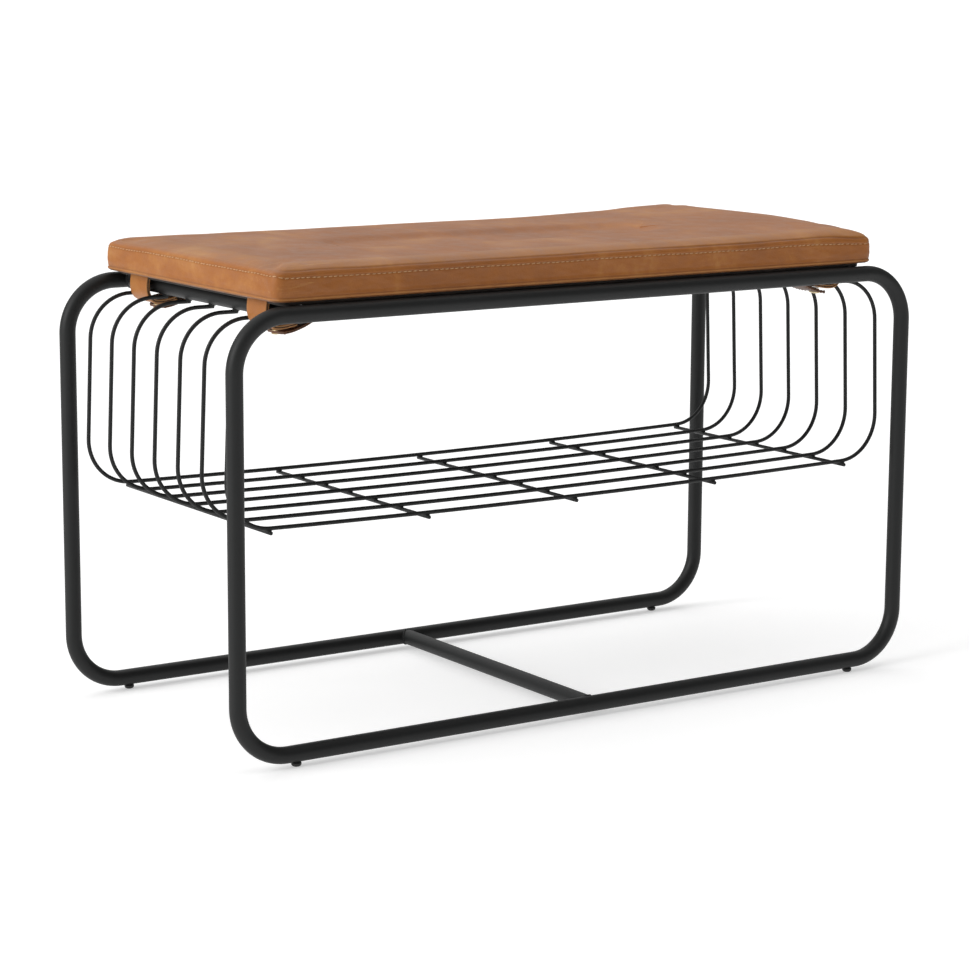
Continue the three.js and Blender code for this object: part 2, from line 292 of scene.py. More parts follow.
def linear(hex_colour):
    """Linear RGBA of an sRGB hex colour."""
    v = np.array([int(hex_colour[i:i + 2], 16) for i in (1, 3, 5)]) / 255
    return (*np.where(v <= 0.04045, v / 12.92, ((v + 0.055) / 1.055) ** 2.4), 1.0)


def add(tree, kind, inputs=None, **settings):
    """Adds one node with its settings; an input given a socket is linked, and any other is set. Returns
    its outputs."""
    made = tree.nodes.new(kind)
    for setting, value in settings.items():
        setattr(made, setting, value)
    for key, value in (inputs or {}).items():
        if isinstance(value, bpy.types.NodeSocket):
            tree.links.new(value, made.inputs[key])
        else:
            made.inputs[key].default_value = value
    return made.outputs


def new_material(name):
    """An empty node material, its tree and its object coordinates in metres."""
    material = bpy.data.materials.new(name)
    material.use_nodes = True
    material.node_tree.nodes.clear()
    return material, material.node_tree, add(material.node_tree, "ShaderNodeTexCoord")["Object"]


def close_material(tree, colour, roughness, bump=None, others=None):
    """Ends a material in one shader with this colour, roughness, bump and any other settings."""
    inputs = {"Base Color": colour, "Roughness": roughness, **(others or {})}
    if bump is not None:
        inputs["Normal"] = bump
    shader = add(tree, "ShaderNodeBsdfPrincipled", inputs)[0]
    add(tree, "ShaderNodeOutputMaterial", {"Surface": shader})


def per_mm(size):
    """Scale of a pattern whose features are size millimetres across."""
    return 1 / (size * MM)


def noise(tree, at, size, detail, roughness=0.5, distortion=0.0):
    """Noise whose largest features are size millimetres across."""
    return add(tree, "ShaderNodeTexNoise", {
        "Vector": at, "Scale": per_mm(size), "Detail": detail, "Roughness": roughness,
        "Distortion": distortion})["Fac"]


def cells(tree, at, size, randomness=1.0):
    """Distance to the middle of the nearest of many cells, size millimetres across."""
    return add(tree, "ShaderNodeTexVoronoi", {
        "Vector": at, "Scale": per_mm(size), "Randomness": randomness})["Distance"]


def stretched(tree, at, scale, turn=0.0):
    """Coordinates turned about Z and scaled, so that a pattern is drawn out where the scale is under 1."""
    inputs = {"Vector": at, "Rotation": (0.0, 0.0, turn), "Scale": scale}
    return add(tree, "ShaderNodeMapping", inputs)["Vector"]


def ranged(tree, value, low, high, to_low=0.0, to_high=1.0, kind="LINEAR"):
    """The value's stretch from low to high laid on that from to_low to to_high."""
    return add(tree, "ShaderNodeMapRange", {
        "Value": value, "From Min": low, "From Max": high, "To Min": to_low, "To Max": to_high},
        interpolation_type=kind)[0]


def reckon(tree, operation, *values, clamp=False):
    return add(tree, "ShaderNodeMath", dict(enumerate(values)), operation=operation, use_clamp=clamp)[0]


def mixed(tree, share, first, second):
    """Colour between two, each of them a hex colour or a socket."""
    first, second = (linear(c) if isinstance(c, str) else c for c in (first, second))
    return add(tree, "ShaderNodeMix", {0: share, 6: first, 7: second}, data_type="RGBA")[2]


def bumped(tree, height, strength, depth, under=None):
    """Bump of a height that is depth millimetres deep, laid over another bump if there is one."""
    inputs = {"Height": height, "Strength": strength, "Distance": depth * MM}
    if under is not None:
        inputs["Normal"] = under
    return add(tree, "ShaderNodeBump", inputs)[0]


def mark_of(tree, name):
    """A mark stored on the mesh's points, 0 where the mesh has none."""
    return add(tree, "ShaderNodeAttribute", attribute_name=name)["Fac"]


def leather(name, deep, middle, pale, cut=None):
    """Pull-up cowhide: aniline-dyed and waxed full-grain leather. The wax moves under pressure, so the
    colour clouds from deep to pale over hand-sized areas and pales along rubbed edges and in scuffs; shade is
    painted in darker where the mesh carries its painted shade mark. The pores give a fine pebble and the wax a
    soft broken gloss.
    A strip's cut edge shows the undyed fibre, and the glue line along its middle is dark."""
    material, tree, at = new_material(name)
    # hand-sized clouds of wax, drawn out a little across the hide
    drawn = stretched(tree, at, (1.0, 0.62, 0.8))
    cloud = noise(tree, drawn, 85, 5, 0.58, 0.35)
    blotch = noise(tree, drawn, 15, 4, 0.62)
    tone = reckon(tree, "MULTIPLY_ADD", blotch, 0.45, cloud)
    low = ranged(tree, tone, 0.42, 0.86, kind="SMOOTHSTEP")
    high = ranged(tree, tone, 0.72, 1.12, kind="SMOOTHSTEP")
    colour = mixed(tree, high, mixed(tree, low, deep, middle), pale)
    # scuffs: long thin marks, 2 mm wide, only where a second noise lets them through
    along = stretched(tree, at, (0.10, 1.0, 1.0), 0.21)
    scratch = ranged(tree, noise(tree, along, 5.5, 3, 0.6, 0.8), 0.62, 0.74)
    spread = ranged(tree, noise(tree, at, 120, 2), 0.46, 0.66)
    scuff = reckon(tree, "MULTIPLY", scratch, spread)
    worn = reckon(tree, "MULTIPLY", blotch, mark_of(tree, "wear"))
    rubbed = reckon(tree, "MULTIPLY_ADD", scuff, 0.55, worn, clamp=True)
    colour = mixed(tree, rubbed, colour, pale)
    # painted shade: darkened towards deep brown where the mesh's shade mark is high, in seam grooves and at the
    # foot of the wall
    colour = mixed(tree, mark_of(tree, "painted_shade"), colour, "#3f2311")
    # pores and pebble: real grain is 0.6 mm, drawn at 1.6 mm so that it shows
    warp = add(tree, "ShaderNodeTexNoise", {"Vector": at, "Scale": per_mm(70), "Detail": 2.0})["Color"]
    uneven = add(tree, "ShaderNodeMix", {0: 0.012, 4: at, 5: warp}, data_type="VECTOR")[1]
    bump = bumped(tree, noise(tree, drawn, 4.2, 6, 0.68), 0.32, 1.0)
    bump = bumped(tree, cells(tree, uneven, 1.6), 0.28, 0.4, bump)
    bump = bumped(tree, rubbed, 0.25, 0.5, bump)
    if cut:
        raw = mixed(tree, noise(tree, at, 0.8, 3), cut, pale)
        colour = mixed(tree, mark_of(tree, "cut"), colour, raw)
        colour = mixed(tree, mark_of(tree, "seam"), colour, "#2b170b")
    roughness = ranged(tree, blotch, 0.3, 0.7, 0.44, 0.60)
    close_material(tree, colour, roughness, bump, {"IOR": 1.45, "Sheen Weight": 0.03, "Sheen Roughness": 0.45})
    return material


def powder_coat():
    """Polyester powder coat, sprayed and baked on steel: near-black, satin, with the faint orange peel
    of powder that has flowed but not levelled, so highlights are broad and slightly broken."""
    material, tree, at = new_material("powder_coated_steel")
    fleck = noise(tree, at, 0.9, 1)
    colour = mixed(tree, noise(tree, at, 90, 3), "#131414", "#1b1c1c")
    bump = bumped(tree, noise(tree, at, 2.2, 2), 0.22, 0.3)
    bump = bumped(tree, fleck, 0.12, 0.2, bump)
    roughness = ranged(tree, fleck, 0, 1, 0.44, 0.58)
    close_material(tree, colour, roughness, bump, {"IOR": 1.5, "Specular IOR Level": 0.32})
    return material


def sewing_thread(name, deep, pale):
    """Bonded polyester sewing thread: three plies twisted, so fine slanting ridges cross each stitch."""
    material, tree, at = new_material(name)
    twist = add(tree, "ShaderNodeTexWave", {"Vector": at, "Scale": per_mm(3.2), "Distortion": 1.5},
                bands_direction="DIAGONAL")["Fac"]
    colour = mixed(tree, twist, deep, pale)
    close_material(tree, colour, 0.62, bumped(tree, twist, 0.5, 0.2), {"Sheen Weight": 0.15})
    return material


def brass():
    """Pressed brass, lacquered and a little tarnished: pale yellow, finely pitted by polishing, with
    duller spots."""
    material, tree, at = new_material("lacquered_brass")
    spot = noise(tree, at, 3.0, 4)
    colour = mixed(tree, spot, "#c9b184", "#e2d2ab")
    bump = bumped(tree, noise(tree, at, 0.7, 2), 0.12, 0.2)
    close_material(tree, colour, ranged(tree, spot, 0, 1, 0.22, 0.42), bump, {"Metallic": 1.0})
    return material


def moulded_nylon():
    """Injection-moulded nylon 6: black, with the fine pitted texture of a spark-eroded mould and a waxy
    gloss."""
    material, tree, at = new_material("moulded_nylon")
    pit = noise(tree, at, 0.6, 3)
    colour = mixed(tree, noise(tree, at, 5, 3), "#0e0e0f", "#1b1b1c")
    roughness = ranged(tree, pit, 0, 1, 0.42, 0.6)
    close_material(tree, colour, roughness, bumped(tree, pit, 0.25, 0.2), {"IOR": 1.53})
    return material


def spunbond():
    """Spun-bonded polypropylene underlining: dark fibre sheet welded at points 2.4 mm apart, so a grid
    of tiny dimples shows over a matt, faintly cloudy ground."""
    material, tree, at = new_material("spunbond_underlining")
    dimple = ranged(tree, cells(tree, at, 2.4, 0.08), 0.10, 0.34)
    fibre = noise(tree, at, 1.1, 6, 0.7)
    tone = reckon(tree, "MULTIPLY", fibre, noise(tree, at, 18, 3))
    tone = reckon(tree, "MULTIPLY", tone, dimple)
    bump = bumped(tree, fibre, 0.3, 0.2, bumped(tree, dimple, 0.5, 0.3))
    close_material(tree, mixed(tree, tone, "#171310", "#4a4038"), 0.93, bump, {"Sheen Weight": 0.1})
    return material


def plywood():
    """Rotary-cut birch ply: pale veneer with long drawn grain, and its plies as brown and cream lines
    on the edge."""
    material, tree, at = new_material("birch_plywood")
    grain = noise(tree, stretched(tree, at, (0.08, 1.0, 1.0)), 6, 5, distortion=0.6)
    ply = add(tree, "ShaderNodeTexWave", {"Vector": at, "Scale": per_mm(9)}, bands_direction="Z")["Fac"]
    tone = reckon(tree, "MULTIPLY_ADD", grain, 0.7, ply)
    close_material(tree, mixed(tree, tone, "#d9bd8e", "#b48c5c"), 0.72, bumped(tree, grain, 0.2, 0.3))
    return material


def zinc_staple():
    """Galvanised steel wire, bent into staples: dull grey zinc with a fine spangle."""
    material, tree, at = new_material("galvanised_wire")
    spangle = cells(tree, at, 1.2)
    colour = mixed(tree, spangle, "#a9abad", "#d0d1d2")
    close_material(tree, colour, ranged(tree, spangle, 0, 1, 0.3, 0.5), others={"Metallic": 1.0})
    return material


STEEL = powder_coat()
SEAT_LEATHER = leather("pull_up_leather_seat", "#8d5320", "#9e5e21", "#bb864a")
STRAP_LEATHER = leather("pull_up_leather_strap", "#935926", "#a56629", "#b6824a", cut="#6b4628")
# painted shade: the tabs use a darker copy of the strap leather, standing in for the shade under the seat
SHADED_TAB_LEATHER = leather("pull_up_leather_tab_painted_shade", "#4a2c18", "#5c3820", "#80573a", cut="#6e4a30")
THREAD = sewing_thread("bonded_thread_sand", "#a9794b", "#d0a575")
DARK_THREAD = sewing_thread("bonded_thread_brown", "#3a2212", "#5e3c22")
BRASS = brass()
NYLON = moulded_nylon()
LINING = spunbond()
ZINC = zinc_staple()


# ------------ steel frame

def loop(label, y, node):
    """Round tube carried round a rectangle with bent corners."""
    line = bent([[-RAIL_X, RAIL_LOW, CORNER_R], [RAIL_X, RAIL_LOW, CORNER_R],
                 [RAIL_X, RAIL_TOP, CORNER_R], [-RAIL_X, RAIL_TOP, CORNER_R]], True, 24)
    grid = carried(line, circle(TUBE_R, TUBE_SIDES), y, closed=True)
    mesh = mesh_from(f"loop_{label}", [grid], closed_rows=True)
    piece(f"loop_{label}", mesh, STEEL, nodes=[node])


def cross_bar(name, x, z, node):
    """Round tube along Y. At angle a round the bar its end lies where the rail's surface is:
    sqrt(R² − (R sin a)²) short of the rail's centre line, let in by a hair so that no gap shows."""
    a = np.arange(TUBE_SIDES) * TURN / TUBE_SIDES
    reach = RAIL_Y - np.sqrt(np.maximum(TUBE_R**2 - (TUBE_R * np.sin(a)) ** 2, 0)) + 0.4
    y = np.linspace(-1, 1, 9)[:, None] * np.minimum(reach, RAIL_Y - 0.6)
    grid = np.stack([x + TUBE_R * np.cos(a) + 0 * y, y, z + TUBE_R * np.sin(a) + 0 * y], -1)
    piece(name, mesh_from(name, [capped(grid)]), STEEL, nodes=[node], sharp=50)


def bead(x, z, side, ceiling):
    """Weld bead along the saddle where a bar meets a rail: a ring carried along the line
    (x + R cos a, side·(rail − sqrt(R² − (R sin a)²)), z + R sin a), its radius swelling and falling
    with the puddles, and dressed flat below a ceiling where the seat rests."""
    puddles, steps = 42, 264
    a = np.arange(steps) * TURN / steps
    reach = RAIL_Y - np.sqrt(np.maximum((TUBE_R + 0.35) ** 2 - (TUBE_R * np.sin(a)) ** 2, 0))
    line = np.stack([x + TUBE_R * np.cos(a), side * reach, z + TUBE_R * np.sin(a)], -1)
    along = np.roll(line, -1, 0) - np.roll(line, 1, 0)
    along /= np.linalg.norm(along, axis=1)[:, None]
    out = np.stack([np.cos(a), -0.9 * side * np.ones_like(a), np.sin(a)], -1)
    out -= (out * along).sum(1)[:, None] * along
    out /= np.linalg.norm(out, axis=1)[:, None]
    over = np.cross(along, out)
    radius = 0.95 + 0.22 * np.abs(np.sin(a * puddles / 2)) + 0.10 * np.sin(3 * a + x)
    ring = circle(1.0, 10)
    grid = line[:, None] + radius[:, None, None] * (
        ring[None, :, :1] * out[:, None] + ring[None, :, 1:] * over[:, None])
    grid[..., 2] = np.minimum(grid[..., 2], ceiling)
    return grid


def blobs(centres, radii):
    """One squashed ball, 10 by 6 faces, for each centre: centre + radii·(sin p cos a, sin p sin a, cos p)."""
    p = np.linspace(0, np.pi, 7)
    ball = turned(np.stack([np.sin(p), np.cos(p)], -1), 10)
    return [np.array(c) + ball * np.array(radii) for c in centres]


def shelf_height(x):
    """Height of the long wires' centre line: SHELF_Z less a sag that falls from its most at the middle as
    1 − (x / reach)²."""
    inside = np.minimum(np.abs(x), SHELF_REACH) / SHELF_REACH
    return SHELF_Z - SHELF_SAG * (1 - inside**2)


def long_wire(i, y):
    """Round wire carried from one top bar out and down to the shelf, across it with its sag, and up again."""
    line = bent([[-WIRE_END_X, WIRE_TOP_Z], [-WIRE_TOP_X, WIRE_TOP_Z, WIRE_TOP_BEND],
                 [-WIRE_LOW_X, SHELF_Z, WIRE_LOW_BEND], [WIRE_LOW_X, SHELF_Z, WIRE_LOW_BEND],
                 [WIRE_TOP_X, WIRE_TOP_Z, WIRE_TOP_BEND], [WIRE_END_X, WIRE_TOP_Z]], False, 18)
    half = len(line) // 2
    across = np.linspace(-SHELF_REACH, SHELF_REACH, 34)[1:-1]
    line = np.concatenate([line[:half], np.stack([across, 0 * across + SHELF_Z], -1), line[half:]])
    flat = (np.abs(line[:, 0]) < SHELF_REACH) & (line[:, 1] < (RAIL_TOP + SHELF_Z) / 2)
    line[:, 1] = np.where(flat, shelf_height(line[:, 0]), line[:, 1])
    grid = capped(carried(line, circle(WIRE_R, WIRE_SIDES), y), 0.5)
    piece(f"long_wire_{i}", mesh_from(f"long_wire_{i}", [grid]), STEEL,
          nodes=[f"shelf_wire_{i}"], sharp=60)


def cross_wire(i, x):
    """Round wire along Y under the long wires, its cut ends softened."""
    z = shelf_height(x) - WIRE_R - CROSS_WIRE_R - 0.1
    ring = circle(CROSS_WIRE_R, WIRE_SIDES)
    y = np.linspace(-CROSS_REACH, CROSS_REACH, 5)
    grid = np.stack([x + ring[None, :, 0] + 0 * y[:, None], y[:, None] + 0 * ring[None, :, 0],
                     z + ring[None, :, 1] + 0 * y[:, None]], -1)
    piece(f"cross_wire_{i}", mesh_from(f"cross_wire_{i}", [capped(grid, 0.5)]), STEEL,
          nodes=[f"shelf_cross_wire_{i}"], sharp=60)
    return z


loop("front", -RAIL_Y, "front_loop")
loop("rear", RAIL_Y, "rear_loop")
cross_bar("bar_top_left", -BAR_X, RAIL_TOP, "top_bar_left")
cross_bar("bar_top_right", BAR_X, RAIL_TOP, "top_bar_right")
cross_bar("bar_base", 0.0, RAIL_LOW, "base_bar")
beads = [bead(x, z, side, RAIL_TOP + TUBE_R - 0.2)
         for x, z in ((-BAR_X, RAIL_TOP), (BAR_X, RAIL_TOP), (0.0, RAIL_LOW)) for side in (-1, 1)]
piece("bar_welds", mesh_from("bar_welds", beads, closed_rows=True), STEEL)
for i, y in enumerate(WIRE_YS, 1):
    long_wire(i, y)
crossings = []
for i, x in enumerate(np.linspace(-SHELF_REACH, SHELF_REACH, CROSS_COUNT), 1):
    z = cross_wire(i, x) + CROSS_WIRE_R
    crossings += [(x, y, z) for y in WIRE_YS]
hangings = [(s * (BAR_X - 0.5), y, WIRE_TOP_Z + WIRE_R - 0.4) for s in (-1, 1) for y in WIRE_YS]
spot_welds = blobs(crossings, (3.1, 3.1, 1.5)) + blobs(hangings, (4.6, 3.5, 1.9))
piece("wire_welds", mesh_from("wire_welds", spot_welds), STEEL)


# ------------ glides

def corner_name(end, side):
    return f"{'front' if side < 0 else 'rear'}_{'left' if end < 0 else 'right'}"


def glide(end, side):
    """Turned from (radius, height): a flat-bottomed nub with a rolled edge, and a stem up into the tube."""
    name = corner_name(end, side)
    profile = [[0, 0.15], [2.6, 0.15], [2.9, 0], [3.3, 0], [4.3, 0.5], [5.0, 1.2], [5.4, 2.1], [5.5, 3.0],
               [5.45, 3.8], [5.2, 4.2], [3.3, 4.2], [3.3, 7.7], [2.6, 8.7], [0, 8.7]]
    grid = turned(profile, 36) + [end * GLIDE_X, side * RAIL_Y, 0]
    piece(f"foot_{name}", mesh_from(f"foot_{name}", [grid]), NYLON,
          nodes=[f"glide_{name}"], sharp=55)


for end in (-1, 1):
    for side in (-1, 1):
        glide(end, side)


# ------------ seat

def around():
    """Each column's place along the long and the short sides, −1 to 1, and its angle; its point is
    ((half_x − c)·along_x + c·cos angle, (half_y − c)·along_y + c·sin angle)."""
    right = np.pi / 2
    # each stretch: its steps, then the two values that each of along_x, along_y and angle runs between
    stretches = ((LONG_STEPS, (-1, 1), (-1, -1), (-right, -right)),
                 (CORNER_STEPS, (1, 1), (-1, -1), (-right, 0)),
                 (SHORT_STEPS, (1, 1), (-1, 1), (0, 0)),
                 (CORNER_STEPS, (1, 1), (1, 1), (0, right)),
                 (LONG_STEPS, (1, -1), (1, 1), (right, right)),
                 (CORNER_STEPS, (-1, -1), (1, 1), (right, 2 * right)),
                 (SHORT_STEPS, (-1, -1), (1, -1), (2 * right, 2 * right)),
                 (CORNER_STEPS, (-1, -1), (-1, -1), (2 * right, 3 * right)))
    return [np.concatenate([np.linspace(*stretch[k], stretch[0], endpoint=False) for stretch in stretches])
            for k in (1, 2, 3)]


def rings(inset, height):
    """Grid of rounded rectangles, one row for each inset from the seat's outline and its height; the corner
    radius falls in step with the width, so that the innermost row closes on a line."""
    along_x, along_y, angle = around()
    half_x, half_y = (SEAT_X - inset)[:, None], (SEAT_Y - inset)[:, None]
    corner = SEAT_CORNER * half_y / SEAT_Y
    x = (half_x - corner) * along_x + corner * np.cos(angle)
    y = (half_y - corner) * along_y + corner * np.sin(angle)
    return np.stack([x, y, height[:, None] + 0 * x], -1)


def seat_profile(fine):
    """(inset, height) from the middle of the top, over the rolled upper edge, down the side and under to
    the middle of the base: two flats and a wall joined by two quarter rounds."""
    t = np.linspace(0, 1, fine)
    top = SEAT_Y * (1 - t) ** 1.25 + EDGE_TOP_R
    top = top[(top <= SEAT_Y) & (top > EDGE_TOP_R + 0.3)]
    top = np.concatenate([[SEAT_Y], top])
    a = np.linspace(0, np.pi / 2, fine // 4)
    wall = np.linspace(SEAT_TOP - EDGE_TOP_R, LEATHER_LOW + EDGE_LOW_R, fine // 2 + 2)[1:-1]
    under = EDGE_LOW_R + (SEAT_Y - EDGE_LOW_R) * np.linspace(0, 1, fine // 4)[1:] ** 1.4
    inset = np.concatenate([top, EDGE_TOP_R * (1 - np.sin(a)), 0 * wall, EDGE_LOW_R * (1 - np.cos(a)), under])
    height = np.concatenate([0 * top + SEAT_TOP, SEAT_TOP - EDGE_TOP_R * (1 - np.cos(a)), wall,
                             LEATHER_LOW + EDGE_LOW_R * (1 - np.sin(a)), 0 * under + LEATHER_LOW])
    return inset, height


def inflate(grid):
    """How far each point of the cover is moved by its filling: a copy is remeshed at 6 mm, its base held
    still, and run as cloth under pressure for 20 frames, and the fine grid is laid on the result."""
    scene = bpy.context.scene
    trial = linked("cover_trial", mesh_from("cover_trial", [grid]))
    for o in bpy.context.selected_objects:
        o.select_set(False)
    trial.select_set(True)
    bpy.context.view_layer.objects.active = trial
    remesh = trial.modifiers.new("even", "REMESH")
    remesh.mode, remesh.voxel_size = "VOXEL", 0.006
    bpy.ops.object.modifier_apply(modifier="even")
    held = trial.vertex_groups.new(name="held")
    co = np.empty(len(trial.data.vertices) * 3)
    trial.data.vertices.foreach_get("co", co)
    co = co.reshape(-1, 3) / MM
    held.add(np.flatnonzero(co[:, 2] < LEATHER_LOW + 5).tolist(), 1.0, "REPLACE")
    # the upper seam is sewn to the wall, so it gives less than the panels
    on_seam = (co[:, 2] > SEAT_TOP - 7) & ((np.abs(co[:, 0]) > SEAT_X - 5) | (np.abs(co[:, 1]) > SEAT_Y - 5))
    held.add(np.flatnonzero(on_seam).tolist(), 0.35, "REPLACE")
    cloth = trial.modifiers.new("cloth", "CLOTH")
    for setting, value in (("vertex_group_mass", "held"), ("quality", 6), ("mass", 0.35),
                           ("tension_stiffness", 18), ("compression_stiffness", 18), ("shear_stiffness", 9),
                           ("bending_stiffness", 2.5), ("use_pressure", True), ("uniform_pressure_force", 4)):
        setattr(cloth.settings, setting, value)
    cloth.settings.effector_weights.gravity = 0
    for number in range(1, 21):
        scene.frame_set(number)
    bpy.ops.object.modifier_apply(modifier="cloth")
    scene.frame_set(1)
    smooth = trial.modifiers.new("rounder", "SUBSURF")
    smooth.levels = smooth.render_levels = 1
    bpy.ops.object.modifier_apply(modifier="rounder")
    fine = linked("cover_fine", mesh_from_plain(grid))
    wrap = fine.modifiers.new("wrap", "SHRINKWRAP")
    wrap.target, wrap.wrap_method = trial, "NEAREST_SURFACEPOINT"
    laid = fine.evaluated_get(bpy.context.evaluated_depsgraph_get()).data
    after = np.empty(len(laid.vertices) * 3)
    laid.vertices.foreach_get("co", after)
    moved = after.reshape(grid.shape) / MM - grid
    for o in (fine, trial):
        data = o.data
        bpy.data.objects.remove(o)
        bpy.data.meshes.remove(data)
    return moved


def mesh_from_plain(grid):
    """The grid's points and cells as a mesh, nothing merged, so that its points stay in order."""
    mesh = bpy.data.meshes.new("cover_fine")
    rows, columns = grid.shape[:2]
    mesh.from_pydata((grid.reshape(-1, 3) * MM).tolist(), [], faces_of(rows, columns, False, True).tolist())
    return mesh


def softened(field, passes):
    """The field averaged 1:2:1 with its neighbours along both ways of the grid, so many times."""
    for _ in range(passes):
        field = (np.roll(field, 1, 1) + 2 * field + np.roll(field, -1, 1)) / 4
        padded = np.concatenate([field[:1], field, field[-1:]])
        field = (padded[:-2] + 2 * padded[1:-1] + padded[2:]) / 4
    return field


def normals(grid):
    """Unit cross product of the grid's two directions at each point."""
    round_ring = np.roll(grid, -1, 1) - np.roll(grid, 1, 1)
    down = np.gradient(grid, axis=0)
    n = np.cross(down, round_ring)
    return n / np.maximum(np.linalg.norm(n, axis=-1, keepdims=True), 1e-9)


def waves(x, y, seed, count, longest, shortest):
    """Sum of sines of random direction and phase, their wavelengths spread evenly from the longest to the
    shortest by ratio, scaled to about −1 to 1."""
    rng = np.random.default_rng(seed)
    total = 0
    for k in range(count):
        length = longest * (shortest / longest) ** (k / max(count - 1, 1))
        way, phase = rng.uniform(0, TURN, 2)
        along = x * np.cos(way) + y * np.sin(way)
        total = total + np.sin(along * TURN / length + phase) * (length / longest) ** 0.7
    return total / np.sqrt(count)


def pad_height(x, y, corner, front_right):
    """How uneven the pad is: a slow wave, fuller at the right end and a little at the left, and lowest at
    the corners, most of all the front right one."""
    back = 0.2 + 0.8 * smoothstep(y, -190, 0)
    right_end = 5.0 * smoothstep(x, 120, 385) * back + 4.0 * smoothstep(x, 250, 392) * (1 - (y / 200) ** 6)
    left_end = 1.0 * smoothstep(-x, 250, 390)
    return 0.30 * waves(x, y, 5, 7, 520, 130) + right_end - 0.6 * corner - 1.8 * front_right + left_end


def seat_cover():
    """The leather cover's grid with its crown, seams and puckers, its painted shade mark for the grooves and
    the wall's foot, and its wear mark.
    """
    inset, height = seat_profile(60)
    base = rings(inset, height)
    x, y, z = np.moveaxis(base, -1, 0)
    along_y = around()[1]
    corner = smoothstep(-np.hypot(SEAT_X - np.abs(x), SEAT_Y - np.abs(y)), -90, -8)
    front_right = smoothstep(x, 300, 392) * smoothstep(-y, 145, 192)
    on_end = smoothstep(np.abs(x) - (SEAT_X - SEAT_Y) - np.abs(y), -14, 2)
    moved = inflate(base)
    far = np.linalg.norm(moved, axis=-1, keepdims=True)
    moved = moved * np.where(far > 1e-6, CROWN * np.tanh(far / CROWN) / np.maximum(far, 1e-6), 1)
    grid = base + softened(moved, 6) * smoothstep(z, LEATHER_LOW + 1, LEATHER_LOW + 9)[..., None]
    grid[..., 2] += smoothstep(z, SEAT_TOP - 16, SEAT_TOP - 2) * pad_height(x, y, corner, front_right)
    # each row keeps the height that it had before the crown, and the seams are drawn on those heights
    run = np.where(np.abs(along_y) < 1, y, x)
    seam_z = (SEAT_TOP - SEAM_DROP - 1.8 * front_right + 0.7 * on_end
              + 0.3 * np.sin(run / 37) + 0.15 * np.sin(run / 13 + 1))
    seam = z - seam_z
    stitch = seam + STITCH_DROP - 1.4 * on_end
    low_seam = z - (LEATHER_LOW + LOW_SEAM_RISE)
    # the wall bellies out between its seams, hollows between its corners and puckers under the upper seam
    wall = smoothstep(z, LEATHER_LOW + 2, LEATHER_LOW + 9) * smoothstep(-z, -SEAT_TOP + 5, -SEAT_TOP + 14)
    belly = smoothstep(z, LEATHER_LOW + 1, LEATHER_LOW + 13) * smoothstep(-z, -SEAT_TOP, -SEAT_TOP + 12)
    pucker = waves(run, z * 2.2, 11, 10, 70, 12)
    relief = wall * (0.38 * pucker - 0.35 * (1 - corner)) + belly * (0.5 + 0.9 * corner)
    # each seam is a groove with a roll of leather beside it; the upper one is sharper to the right
    sharp = 0.62 - 0.42 * on_end + 0.20 * smoothstep(x, -120, 200)
    relief += sharp * (0.42 * bell(seam - 2.2, 1.5) - 0.95 * bell(seam, 0.9))
    relief += 0.24 * bell(stitch - 2.6, 1.8) - 0.42 * bell(stitch, 1.0)
    relief += 0.42 * bell(low_seam + 1.7, 1.2) - 0.5 * bell(low_seam, 0.8)
    edge = (inset < 40)[:, None]
    grid = grid + (relief * edge)[..., None] * normals(grid)
    # painted shade: the turned edge at the foot of the wall is darkened as if in the seat's own contact shadow
    foot_shade = 0.55 * smoothstep(-z, -LEATHER_LOW - 3.2, -LEATHER_LOW - 0.4)
    # painted shade: darker in the grooves of the seams and the topstitch, and at the foot of the wall
    painted_shade = 0.40 * sharp * bell(seam, 0.8) + 0.22 * bell(stitch, 0.8) + 0.30 * bell(low_seam, 0.8) + foot_shade
    wear = 0.7 * bell(seam - 3.2, 2.4) + 0.6 * bell(low_seam + 1.7, 1.2)
    return grid, np.clip(painted_shade, 0, 1) * edge, np.clip(wear, 0, 1) * edge, stitch, z


def topstitch(grid, stitch, z):
    """Row of stitches: capsules whose centre lines lie on the cover where its stitch field is zero, each a
    run of the perimeter with a thread's radius that tapers and dips into the leather at both ends."""
    rows = np.flatnonzero((z[:, 0] > LEATHER_LOW + 8) & (z[:, 0] < SEAT_TOP - 1))
    field, points = stitch[rows], grid[rows]
    low = np.clip(np.argmin(np.abs(field), axis=0), 1, len(rows) - 2)
    columns = np.arange(grid.shape[1])
    here, there = field[low, columns], field[low + 1, columns]
    part = np.clip(here / (here - there), -1, 1)[:, None]
    line = points[low, columns] * (1 - part) + points[low + 1, columns] * part
    out = normals(grid)[rows][low, columns]
    line, out = np.concatenate([line, line[:1]]), np.concatenate([out, out[:1]])
    run = run_of(line)
    count = int(run[-1] / (STITCH + STITCH_GAP))
    rng = np.random.default_rng(7)
    start = (np.arange(count) + 0.12 * rng.uniform(-1, 1, count)) * run[-1] / count
    t = np.linspace(0, 1, 7)
    at = (start[:, None] + STITCH * t) % run[-1]
    middle, away = spots_along(line, run, at), spots_along(out, run, at)
    along = np.gradient(middle, axis=1)
    along /= np.linalg.norm(along, axis=-1, keepdims=True)
    up = np.cross(away, along)
    lean = 0.077 * STITCH * (t - 0.5)
    arch = np.sin(np.pi * t)
    radius = THREAD_R * np.maximum(arch, 0) ** 0.35
    middle = middle + away * (0.12 + 0.28 * arch)[None, :, None] + up * lean[None, :, None]
    ring = circle(1.0, 6)
    return list(middle[:, :, None] + radius[None, :, None, None] * (
        ring[None, None, :, :1] * up[:, :, None] + ring[None, None, :, 1:] * away[:, :, None]))


